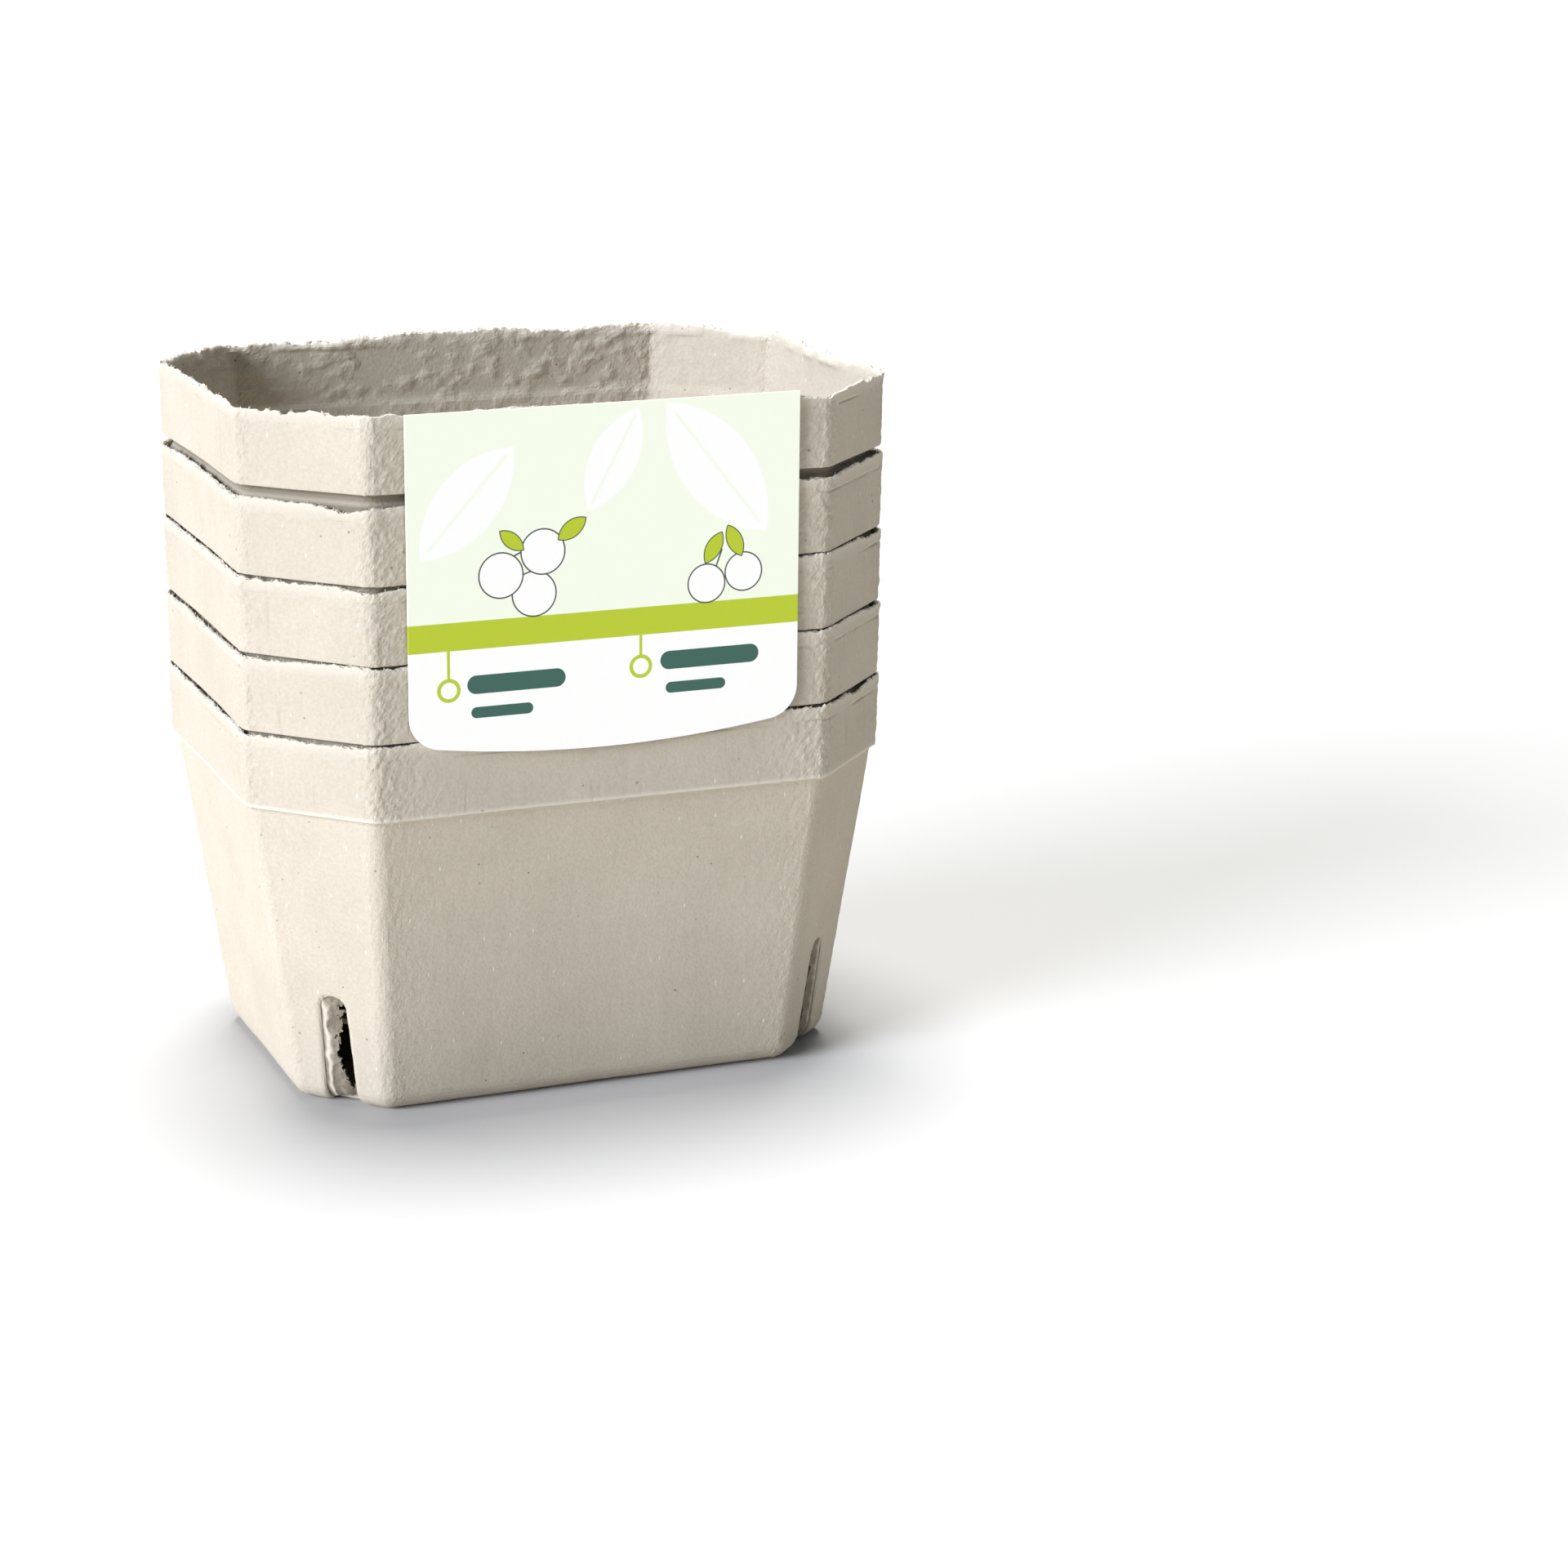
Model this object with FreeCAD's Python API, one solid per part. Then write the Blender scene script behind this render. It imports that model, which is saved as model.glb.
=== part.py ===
import FreeCAD, Part
import math
import os

# A stack of nested moulded-pulp berry punnets with a card label on the front.
# Frame: origin at the centre of the bottom punnet's foot, +X along the length,
# +Y to the back, +Z up. Millimetres and degrees.

# Driving dimensions of one punnet.
PUNNET_COUNT = 5
RIM_LENGTH = 184.0          # outside length at the rim
RIM_WIDTH = 138.5           # outside width at the rim
RIM_CORNER = 28.0           # leg of the cut corner at the rim
HEIGHT = 107.0              # foot to rim
WALL = 1.8                  # pulp thickness of the side walls
FLOOR = 2.2                 # pulp thickness of the floor
LIP_HEIGHT = 4.0            # upright band under the rim
LIP_STEP = 0.3              # how far the lip stands proud of the collar
COLLAR_HEIGHT = 21.0        # rim to stacking ledge, which is the nesting pitch
COLLAR_DRAFT = 2.5          # lean of the collar
BODY_DRAFT = 8.2            # lean of the walls under the ledge
LIP_RADIUS = 5.0            # outside radius of the upright edges of the lip and collar
BODY_RADIUS = 6.5           # outside radius of the body's upright and foot edges

# Vent slot in each cut corner, open at the foot.
VENT_HEIGHT = 33.0
VENT_TOP_WIDTH = 8.0
VENT_FOOT_WIDTH = 9.8
VENT_FLOOR_RUN = 5.5        # how far the slot runs in under the floor

# Fits.
NEST_CLEARANCE = 0.5        # body to the rim of the punnet it stands in
LEAN_CLEARANCE = 0.25       # foot of the leaning top punnet to the wall beside it
LEAN_DIRECTION = 25.0       # raised side of the top punnet, from the front to the left

# Card label glued to the lips on the front.
LABEL_MARGIN = 9.75         # label edge to the corner of the front wall
LABEL_DROP = 0.5            # label's top edge under the highest point of the rims
LABEL_OVERHANG = 5.5        # label's lowest point under the bottom punnet's rim
LABEL_THICKNESS = 0.5
LABEL_SAG = 4.5             # how far the label's bottom edge bulges down
LABEL_CORNER_RADIUS = 9.0

# Levels and insets that follow from them. An inset is how far a wall stands
# inside the outline of the rim, and is the same on all eight sides.
SEAT_LEVEL = HEIGHT - COLLAR_HEIGHT
COLLAR_SLOPE = math.tan(math.radians(COLLAR_DRAFT))
SEAT_INSET = LIP_STEP + (COLLAR_HEIGHT - LIP_HEIGHT) * COLLAR_SLOPE
BODY_INSET = WALL + NEST_CLEARANCE
BODY_SLOPE = math.tan(math.radians(BODY_DRAFT))
FOOT_INSET = BODY_INSET + SEAT_LEVEL * BODY_SLOPE
NEST_GAP = COLLAR_HEIGHT * BODY_SLOPE - WALL


def corner_points(inset, level):
    """The eight corners of the rim's outline, shrunk by inset on every side."""
    half_length = RIM_LENGTH / 2 - inset
    half_width = RIM_WIDTH / 2 - inset
    leg = RIM_CORNER - inset * (2 - math.sqrt(2))
    quarter = [(half_length, half_width - leg), (half_length - leg, half_width)]
    points = []
    for side_x, side_y in ((1, 1), (-1, 1), (-1, -1), (1, -1)):
        pair = [(x * side_x, y * side_y) for x, y in quarter]
        if side_x * side_y < 0:
            pair.reverse()
        points += pair
    return [FreeCAD.Vector(x, y, level) for x, y in points]


def frustum(lower, upper):
    """The solid with flat sides between two outlines, which both run anticlockwise."""
    outlines = [lower[::-1], upper]
    for index, corner in enumerate(lower):
        beside = (index + 1) % len(lower)
        outlines.append([corner, lower[beside], upper[beside], upper[index]])
    faces = [Part.Face(Part.makePolygon(outline + outline[:1])) for outline in outlines]
    return Part.makeSolid(Part.makeShell(faces))


def tier(lower_inset, low, upper_inset, high):
    return frustum(corner_points(lower_inset, low), corner_points(upper_inset, high))


def upright_edges(form):
    return [edge for edge in form.Edges if edge.BoundBox.ZLength > 1]


def foot_edges(form):
    low = form.BoundBox.ZMin
    return [edge for edge in form.Edges if edge.BoundBox.ZMax < low + 1e-4]


def outer_form():
    lip_level = HEIGHT - LIP_HEIGHT
    body = tier(FOOT_INSET, 0, BODY_INSET, SEAT_LEVEL)
    collar = tier(SEAT_INSET, SEAT_LEVEL, LIP_STEP, lip_level)
    lip = tier(0, lip_level, 0, HEIGHT)
    rounded = body.makeFillet(BODY_RADIUS, upright_edges(body) + foot_edges(body))
    return rounded.fuse([band.makeFillet(LIP_RADIUS, upright_edges(band)) for band in (collar, lip)])


def inner_form():
    lip_level = HEIGHT - LIP_HEIGHT
    ledge_level = SEAT_LEVEL + WALL
    floor_inset = FOOT_INSET - FLOOR * BODY_SLOPE + WALL
    ledge_inset = BODY_INSET - WALL * BODY_SLOPE + WALL
    collar_inset = SEAT_INSET - WALL * COLLAR_SLOPE + WALL
    body = tier(floor_inset, FLOOR, ledge_inset, ledge_level)
    collar = tier(collar_inset, ledge_level, LIP_STEP + WALL, lip_level)
    lip = tier(WALL, lip_level, WALL, HEIGHT + 1)
    return body.makeFillet(BODY_RADIUS - WALL, foot_edges(body)).fuse([collar, lip])


def vent_cutter():
    """The slot's outline, set up in the corner on the +X +Y side."""
    half_top = VENT_TOP_WIDTH / 2
    half_foot = VENT_FOOT_WIDTH / 2
    shoulder = VENT_HEIGHT - half_top
    foot_left = FreeCAD.Vector(0, -half_foot, -1)
    foot_right = FreeCAD.Vector(0, half_foot, -1)
    top_left = FreeCAD.Vector(0, -half_top, shoulder)
    top_right = FreeCAD.Vector(0, half_top, shoulder)
    crown = FreeCAD.Vector(0, 0, VENT_HEIGHT)
    outline = Part.Wire([
        Part.makeLine(foot_right, top_right),
        Part.Arc(top_right, crown, top_left).toShape(),
        Part.makeLine(top_left, foot_left),
        Part.makeLine(foot_left, foot_right),
    ])
    length = VENT_FLOOR_RUN + VENT_HEIGHT * BODY_SLOPE + WALL
    cutter = Part.Face(outline).extrude(FreeCAD.Vector(length, 0, 0))
    cutter.rotate(FreeCAD.Vector(0, 0, 0), FreeCAD.Vector(0, 0, 1), 45)
    first, second = corner_points(FOOT_INSET, 0)[:2]
    inward = FreeCAD.Vector(-1, -1, 0).normalize()
    cutter.translate((first + second) / 2 + inward * VENT_FLOOR_RUN)
    return cutter


def vent_cutters():
    first = vent_cutter()
    beside = first.mirror(FreeCAD.Vector(0, 0, 0), FreeCAD.Vector(1, 0, 0))
    pair = [first, beside]
    return pair + [slot.mirror(FreeCAD.Vector(0, 0, 0), FreeCAD.Vector(0, 1, 0)) for slot in pair]


def punnet():
    shell = outer_form().cut(inner_form())
    return shell.cut(vent_cutters()).removeSplitter()


def lean_span(direction):
    """How far the seat reaches from the stack's centre along a direction."""
    return max(point.dot(direction) for point in corner_points(SEAT_INSET, 0))


def lean_placement():
    """The top punnet stands on the far side of its seat and leans.

    Its foot swings towards the raised side and almost meets the wall beside it,
    which also slopes away from it as that side rises.
    """
    turn = math.radians(LEAN_DIRECTION)
    raised = FreeCAD.Vector(-math.sin(turn), -math.cos(turn), 0)
    span = 2 * lean_span(raised)
    angle = math.atan((NEST_GAP - LEAN_CLEARANCE) / (SEAT_LEVEL - span * BODY_SLOPE))
    seat = (PUNNET_COUNT - 1) * COLLAR_HEIGHT + SEAT_LEVEL
    pivot = raised * (-span / 2) + FreeCAD.Vector(0, 0, seat)
    axis = raised.cross(FreeCAD.Vector(0, 0, 1))
    return FreeCAD.Placement(FreeCAD.Vector(), FreeCAD.Rotation(axis, math.degrees(angle)), pivot)


def stacked_punnets():
    """Every punnet hangs by its ledge on the rim below; the top one leans."""
    single = punnet()
    stack = []
    for index in range(PUNNET_COUNT):
        copy = single.copy()
        copy.translate(FreeCAD.Vector(0, 0, index * COLLAR_HEIGHT))
        stack.append(copy)
    top = stack[-1]
    top.Placement = lean_placement().multiply(top.Placement)
    return stack


def front_label(top_punnet):
    """A flat card across the front lips, square above and bulging below."""
    half_width = RIM_LENGTH / 2 - RIM_CORNER - LABEL_MARGIN
    front = -RIM_WIDTH / 2
    top = top_punnet.BoundBox.ZMax - LABEL_DROP
    bottom = HEIGHT - LABEL_OVERHANG
    shoulder = bottom + LABEL_SAG
    top_left = FreeCAD.Vector(-half_width, front, top)
    top_right = FreeCAD.Vector(half_width, front, top)
    low_left = FreeCAD.Vector(-half_width, front, shoulder)
    low_right = FreeCAD.Vector(half_width, front, shoulder)
    outline = Part.Wire([
        Part.makeLine(top_left, top_right),
        Part.makeLine(top_right, low_right),
        Part.Arc(low_right, FreeCAD.Vector(0, front, bottom), low_left).toShape(),
        Part.makeLine(low_left, top_left),
    ])
    card = Part.Face(outline).extrude(FreeCAD.Vector(0, -LABEL_THICKNESS, 0))
    corners = [edge for edge in card.Edges if edge.Length < LABEL_THICKNESS * 1.01
               and edge.BoundBox.ZMax < shoulder + 0.01]
    return card.makeFillet(LABEL_CORNER_RADIUS, corners)


def main():
    os.makedirs("parts", exist_ok=True)
    stack = stacked_punnets()
    for index, shape in enumerate(stack):
        shape.exportStep("parts/punnet_%d.step" % (index + 1))
    front_label(stack[-1]).exportStep("parts/front_label.step")


main()
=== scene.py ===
"""A nested stack of five moulded-pulp berry punnets with a printed label card across the front lips."""

import math

import bpy
from mathutils import Matrix, Vector


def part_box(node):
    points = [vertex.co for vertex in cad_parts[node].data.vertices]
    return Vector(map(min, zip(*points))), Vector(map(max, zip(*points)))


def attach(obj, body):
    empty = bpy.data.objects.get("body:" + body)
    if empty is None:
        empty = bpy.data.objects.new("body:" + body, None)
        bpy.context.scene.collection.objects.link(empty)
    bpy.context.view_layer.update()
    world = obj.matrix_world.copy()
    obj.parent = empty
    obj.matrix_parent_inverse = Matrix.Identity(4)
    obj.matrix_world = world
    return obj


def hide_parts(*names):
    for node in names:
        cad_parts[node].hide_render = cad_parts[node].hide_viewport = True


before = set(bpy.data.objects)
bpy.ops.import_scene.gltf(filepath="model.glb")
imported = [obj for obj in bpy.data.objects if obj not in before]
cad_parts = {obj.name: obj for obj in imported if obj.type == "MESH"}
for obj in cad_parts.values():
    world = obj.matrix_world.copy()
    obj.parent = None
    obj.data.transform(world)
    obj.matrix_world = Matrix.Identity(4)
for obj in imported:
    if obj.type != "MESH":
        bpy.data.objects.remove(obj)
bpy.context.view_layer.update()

MM = 0.001

# The punnet's own sizes, as it is moulded, in metres.
PUNNETS = ["punnet_1", "punnet_2", "punnet_3", "punnet_4", "punnet_5"]
BOTTOM, TOP = PUNNETS[0], PUNNETS[-1]
HALF_LENGTH = 92.0 * MM
HALF_WIDTH = 69.25 * MM
CORNER_LEG = 28.0 * MM
CORNER_MIDDLE = Vector((HALF_LENGTH - CORNER_LEG / 2, HALF_WIDTH - CORNER_LEG / 2, 0))
HEIGHT = 107.0 * MM
WALL = 1.8 * MM
FLOOR = 2.2 * MM
COLLAR_HEIGHT = 21.0 * MM
COLLAR_RADIUS = 5.0 * MM
COLLAR_SLOPE = math.tan(math.radians(2.5))
LIP_HEIGHT = 4.0 * MM
LIP_STEP = 0.3 * MM
RIM_RADIUS = 1.6 * MM
SEAT_LEVEL = HEIGHT - COLLAR_HEIGHT
BODY_DRAFT = math.radians(8.2)
BODY_SLOPE = math.tan(BODY_DRAFT)
BODY_RADIUS = 6.5 * MM
BODY_TOP = 82.4 * MM
BODY_TOP_INSET = 2.3 * MM
FOOT_INSET = BODY_TOP_INSET + SEAT_LEVEL * BODY_SLOPE
FOOT_ARC = math.pi / 2 - BODY_DRAFT
HALF_TURN = math.tan(math.radians(22.5))

# The vent slots at the foot of the four cut corners, and the levels where the rows' spacing changes.
VENT_HEIGHT = 33.0 * MM
VENT_TOP_HALF = 4.0 * MM
VENT_FOOT_HALF = 4.9 * MM
VENT_FLOOR_RUN = 5.5 * MM
VENT_EDGE = 1.4 * MM
VENT_ROLL = 0.45 * VENT_EDGE
VENT_ROWS_END = 37.0 * MM
INNER_ROWS_CHANGE = 56.0 * MM

# How dark the hollow under the ledge is painted, as painted shade, and how deep the wall's own hollows go.
HOLLOW_PAINTED_SHADE = 0.85
DEEPEST_HOLLOW = 0.15 * MM

# The loose top punnet: where it leans to, how close its foot gets to the wall, how high it stands.
LEAN_HEADING = math.radians(25)
LEAN_CLEARANCE = 0.25 * MM
TOP_RAISED = (len(PUNNETS) - 1) * COLLAR_HEIGHT

# Points closer together than this are merged.
WELD = 0.002 * MM

# The kinds of node that are used most.
MATH = "ShaderNodeMath"
VECTOR_MATH = "ShaderNodeVectorMath"
MAP_RANGE = "ShaderNodeMapRange"
NOISE = "ShaderNodeTexNoise"
MIX = "ShaderNodeMix"


def add(tree, kind, feeds=None, out=0, **settings):
    """Adds one node and returns one of its outputs, or all of them where out is None.

    Settings are the node's own options. Feeds are values, links or lists of links for its sockets.
    """
    node = tree.nodes.new(kind)
    for name, value in settings.items():
        setattr(node, name, value)
    for socket, value in (feeds or {}).items():
        for each in value if isinstance(value, list) else [value]:
            if isinstance(each, bpy.types.NodeSocket):
                tree.links.new(each, node.inputs[socket])
            else:
                node.inputs[socket].default_value = each
    return node.outputs if out is None else node.outputs[out]


def mottle(tree, at, size, detail, low, high, to=(0.0, 1.0), seed=None, roughness=0.5, **stretch):
    """Noise with features of that size, stretched so that low to high fills the range in to."""
    feeds = {"Vector": at, "Scale": 1 / size, "Detail": detail, "Roughness": roughness}
    if seed is not None:
        feeds["W"] = seed
    noise = add(tree, NOISE, feeds, noise_dimensions="3D" if seed is None else "4D")
    return add(tree, MAP_RANGE, {
        "Value": noise, "From Min": low, "From Max": high, "To Min": to[0], "To Max": to[1],
    }, **stretch)


def rolled_over(tree, share):
    """How far a quarter round has rolled over at that share of its run: 1 - sqrt(1 - share * share)."""
    squared = add(tree, MATH, {0: share, 1: 2.0}, operation="POWER")
    left = add(tree, MATH, {0: 1.0, 1: squared}, operation="SUBTRACT")
    root = add(tree, MATH, {0: left, 1: 0.5}, operation="POWER")
    return add(tree, MATH, {0: 1.0, 1: root}, operation="SUBTRACT")


def geometry_tree(name, result, sockets):
    """A new tree with one geometry output and named inputs: label, kind and default value."""
    tree = bpy.data.node_groups.new(name, "GeometryNodeTree")
    for label, kind, default in sockets:
        socket = tree.interface.new_socket(label, in_out="INPUT", socket_type="NodeSocket" + kind)
        if default is not None:
            socket.default_value = default
    tree.interface.new_socket(result, in_out="OUTPUT", socket_type="NodeSocketGeometry")
    return tree, add(tree, "NodeGroupInput", out=None)


def held_within(tree, shape, low, high):
    """Brings every point of a shape that lies outside the box from low to high back onto the box."""
    place = add(tree, "GeometryNodeInputPosition")
    for corner, operation in ((low, "MAXIMUM"), (high, "MINIMUM")):
        place = add(tree, VECTOR_MATH, {0: place, 1: corner}, operation=operation)
    return add(tree, "GeometryNodeSetPosition", {"Geometry": shape, "Position": place})


def hand_out(tree, result, shape, material):
    """Ends a tree: the shape's instances are made real, and it gets its material."""
    shape = add(tree, "GeometryNodeRealizeInstances", {0: shape})
    shape = add(tree, "GeometryNodeSetMaterial", {"Geometry": shape, "Material": material})
    add(tree, "NodeGroupOutput", {result: shape}, out=None)


def bare_tree(owner):
    """The emptied node tree of a material or a world."""
    owner.use_nodes = True
    owner.node_tree.nodes.clear()
    return owner.node_tree


def placed(name, data):
    """A new object of that data, linked into the scene."""
    thing = bpy.data.objects.new(name, data)
    bpy.context.scene.collection.objects.link(thing)
    return thing


def paint(code):
    """An sRGB hex colour as linear red, green, blue and alpha."""
    parts = [int(code[i:i + 2], 16) / 255 for i in (1, 3, 5)]
    linear = [c / 12.92 if c <= 0.04045 else ((c + 0.055) / 1.055) ** 2.4 for c in parts]
    return (*linear, 1.0)


def between(a, b, steps):
    """Tuples that run evenly from a, which is left out, to b."""
    return [
        tuple(p + (q - p) * i / steps for p, q in zip(a, b))
        for i in range(1, steps + 1)
    ]


# ---------------------------------------------------------------- the wall's section and plan

# A row's last value is painted light: above nought a painted highlight, below nought painted shade.
def wall_row(inset, radius, level, spread=1.0, inside=0.0, torn=0.0, crease=0.0, tone=0.0):
    """One row of the section: its place in metres, then the values that the tree reads there."""
    return inset, radius, level, spread, inside, torn, crease, tone


def wall_section(floor, foot, body_low, body_high, collar, inner_collar, inner_high, inner_low,
                 inner_foot, inner_floor, undercut=0.0, ledge_highlight=0.0, fold=0.0):
    """The rows of the shell from under the floor, up the outside, over the rim and down the inside.

    The arguments are how many rows each stretch gets, how deep the hollow under the stacking ledge
    is in millimetres, which up to one millimetre also sets how dark it is painted as painted shade, how pale
    a painted highlight on the ledge's edge is, and how far the rim is folded over inside.
    """
    centre_inset = FOOT_INSET - BODY_RADIUS * BODY_SLOPE + BODY_RADIUS / math.cos(BODY_DRAFT)
    inner_radius = BODY_RADIUS - WALL
    inner_offset = WALL / math.cos(BODY_DRAFT)
    inner_centre_level = FLOOR + inner_radius
    # How strongly the hollow under the ledge is painted with shade.
    painted_shade = min(undercut, 1.0)

    def body_inset(level):
        return FOOT_INSET - level * BODY_SLOPE

    def inner_row(level):
        return wall_row(body_inset(level) + inner_offset, inner_radius, level, inside=1.0)

    inner_centre_inset = (
        body_inset(inner_centre_level) + (WALL + inner_radius) / math.cos(BODY_DRAFT)
    )

    rows = [wall_row(centre_inset, 0.0, 0.0, spread=0.0)]
    rows += between(rows[-1], wall_row(centre_inset, 0.0, 0.0), floor)
    for i in range(1, foot + 1):
        turn = FOOT_ARC * i / foot
        radius = BODY_RADIUS * math.sin(turn)
        rows.append(wall_row(centre_inset - radius, radius, BODY_RADIUS * (1 - math.cos(turn))))
    rows += between(rows[-1], wall_row(body_inset(VENT_ROWS_END), BODY_RADIUS, VENT_ROWS_END), body_low)
    # The top body row is painted darker where the hollow is deep: painted shade on the band seen under a
    # raised collar.
    rows += between(rows[-1], wall_row(
        body_inset(BODY_TOP), BODY_RADIUS, BODY_TOP, tone=-HOLLOW_PAINTED_SHADE * painted_shade,
    ), body_high)

    # The stacking ledge, in millimetres: a hollow under it, painted with shade, then the collar's lower edge,
    # which gets a painted highlight.
    for inset, radius, level, hollow, highlight_share in [
        (2.72, 6.5, 83.2, 0.5, 0.0), (2.6, 6.5, 84.0, 1.0, 0.0), (2.48, 6.45, 84.8, 1.0, 0.0),
        (2.2, 6.2, 85.35, 1.0, 0.1), (1.75, 5.9, 85.75, 0.8, 0.5), (1.3, 5.5, 85.95, 0.1, 0.9),
        (1.06, 5.2, 86.15, 0.0, 1.0), (1.0, 5.0, 86.6, 0.0, 0.6), (0.99, 5.0, 87.3, 0.0, 0.0),
    ]:
        # The row's painted light: the painted highlight on the edge, less the painted shade in the hollow.
        tone = highlight_share * ledge_highlight - HOLLOW_PAINTED_SHADE * hollow * painted_shade
        rows.append(wall_row((inset + undercut * hollow) * MM, radius * MM, level * MM, tone=tone))
    rows += between(rows[-1], wall_row(0.66 * MM, COLLAR_RADIUS, 101.4 * MM), collar)
    # The crease where the lip band starts, then the lip and its torn top.
    for inset, level, torn, crease in [
        (0.64, 102.0, 0.02, 0.1), (0.64, 102.35, 0.04, 0.7), (0.64, 102.6, 0.07, 1.0),
        (0.62, 102.85, 0.11, 0.7), (0.6, 103.3, 0.18, 0.1), (0.56, 104.1, 0.3, 0.0),
        (0.5, 104.9, 0.45, 0.0), (0.44, 105.7, 0.65, 0.0), (0.42, 106.4, 0.87, 0.0),
        (0.46, 106.85, 0.98, 0.0), (0.66, 106.99, 1.0, 0.0), (1.0, 107.0, 1.0, 0.0),
    ]:
        rows.append(wall_row(inset * MM, COLLAR_RADIUS, level * MM, torn=torn, crease=crease))
    # The rim's inner edge, folded over in lumps a few millimetres deep.
    for inset, level, torn, crease in [
        (1.36, 106.9, 1.0, 0.0), (1.6, 106.5, 0.9, 0.2), (1.75, 105.6, 0.5, 0.9), (1.85, 104.8, 0.3, 1.8),
        (1.93, 104.0, 0.2, 2.6), (1.98, 103.3, 0.12, 2.2), (2.02, 102.7, 0.05, 0.7), (2.05, 102.1, 0.0, 0.0),
    ]:
        rows.append(wall_row(inset * MM, RIM_RADIUS, level * MM, inside=1.0, torn=torn, crease=crease * fold))

    # Down the inside: collar, the seat for the next punnet, body, foot and floor.
    rows += between(rows[-1], wall_row(2.75 * MM, 1.5 * MM, 89.4 * MM, inside=1.0), inner_collar)
    for inset, radius, level in [(2.9, 1.7, 88.5), (3.2, 2.3, 87.7), (3.6, 3.1, 87.0), (3.95, 3.9, 86.2)]:
        rows.append(wall_row(inset * MM, radius * MM, level * MM, inside=1.0))
    rows += between(rows[-1], inner_row(INNER_ROWS_CHANGE), inner_high)
    foot_level = inner_centre_level - inner_radius * math.cos(FOOT_ARC)
    rows += between(rows[-1], inner_row(foot_level), inner_low)
    for i in range(1, inner_foot + 1):
        turn = FOOT_ARC * (1 - i / inner_foot)
        radius = inner_radius * math.sin(turn)
        level = inner_centre_level - inner_radius * math.cos(turn)
        rows.append(wall_row(inner_centre_inset - radius, radius, level, inside=1.0))
    rows += between(rows[-1], wall_row(inner_centre_inset, 0.0, FLOOR, spread=0.0, inside=1.0), inner_floor)
    return rows


def outline_columns(short_half, corner, cut, long_half):
    """The columns round the eight-sided plan, one quarter worked out and turned into four.

    A column is the corner point it hangs from, the way that point moves as the wall steps in, the
    outward direction, and how near it is to mid-side and to an upright edge. The arguments are how
    many columns each stretch gets.
    """
    high = Vector((HALF_LENGTH, HALF_WIDTH - CORNER_LEG, 0))
    low = Vector((HALF_LENGTH - CORNER_LEG, HALF_WIDTH, 0))
    high_way, low_way = Vector((1, HALF_TURN, 0)), Vector((HALF_TURN, 1, 0))
    # Corner point, way, heading in degrees, columns up to the next station, mid-side, upright edge.
    stations = [
        (Vector((HALF_LENGTH, 0, 0)), Vector((1, 0, 0)), 0.0, short_half, 1.0, 0.0),
        (high, high_way, 0.0, corner, 0.0, 1.0),
        (high, high_way, 45.0, cut, 0.0, 1.0),
        (low, low_way, 45.0, corner, 0.0, 1.0),
        (low, low_way, 90.0, long_half, 0.0, 1.0),
        (Vector((0, HALF_WIDTH, 0)), Vector((0, 1, 0)), 90.0, 0, 1.0, 0.0),
    ]
    quarter = []
    for start, end in zip(stations, stations[1:]):
        steps = start[3]
        for i in range(steps):
            share = i / steps
            edge = start[5] + (end[5] - start[5]) * share
            if start is stations[2]:
                edge = abs(2 * share - 1)
            quarter.append((
                start[0].lerp(end[0], share),
                start[1].lerp(end[1], share),
                math.radians(start[2] + (end[2] - start[2]) * share),
                start[4] + (end[4] - start[4]) * share,
                edge,
            ))
    last = (stations[-1][0], stations[-1][1], math.pi / 2, 1.0, 0.0)
    columns = []
    for turn in range(4):
        swapped = turn % 2 == 1
        run = [last] + quarter[:0:-1] if swapped else quarter
        side_x = -1 if turn in (1, 2) else 1
        side_y = -1 if turn in (2, 3) else 1
        for point, way, angle, bow, edge in run:
            columns.append((
                Vector((point.x * side_x, point.y * side_y, 0)),
                Vector((way.x * side_x, way.y * side_y, 0)),
                Vector((math.cos(angle) * side_x, math.sin(angle) * side_y, 0)),
                bow * bow * (3 - 2 * bow),
                edge ** 6,
            ))
    return columns


def loose_points(name, points, labels, values):
    """A mesh of points only, with one row of labelled values for each, for the tree to read."""
    mesh = bpy.data.meshes.new(name)
    mesh.from_pydata(points, [], [])
    for label, column in zip(labels, zip(*values)):
        vector = isinstance(column[0], Vector)
        layer = mesh.attributes.new(label, "FLOAT_VECTOR" if vector else "FLOAT", "POINT")
        if vector:
            layer.data.foreach_set("vector", [c for v in column for c in v])
        else:
            layer.data.foreach_set("value", column)
    return placed(name, mesh)


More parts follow.
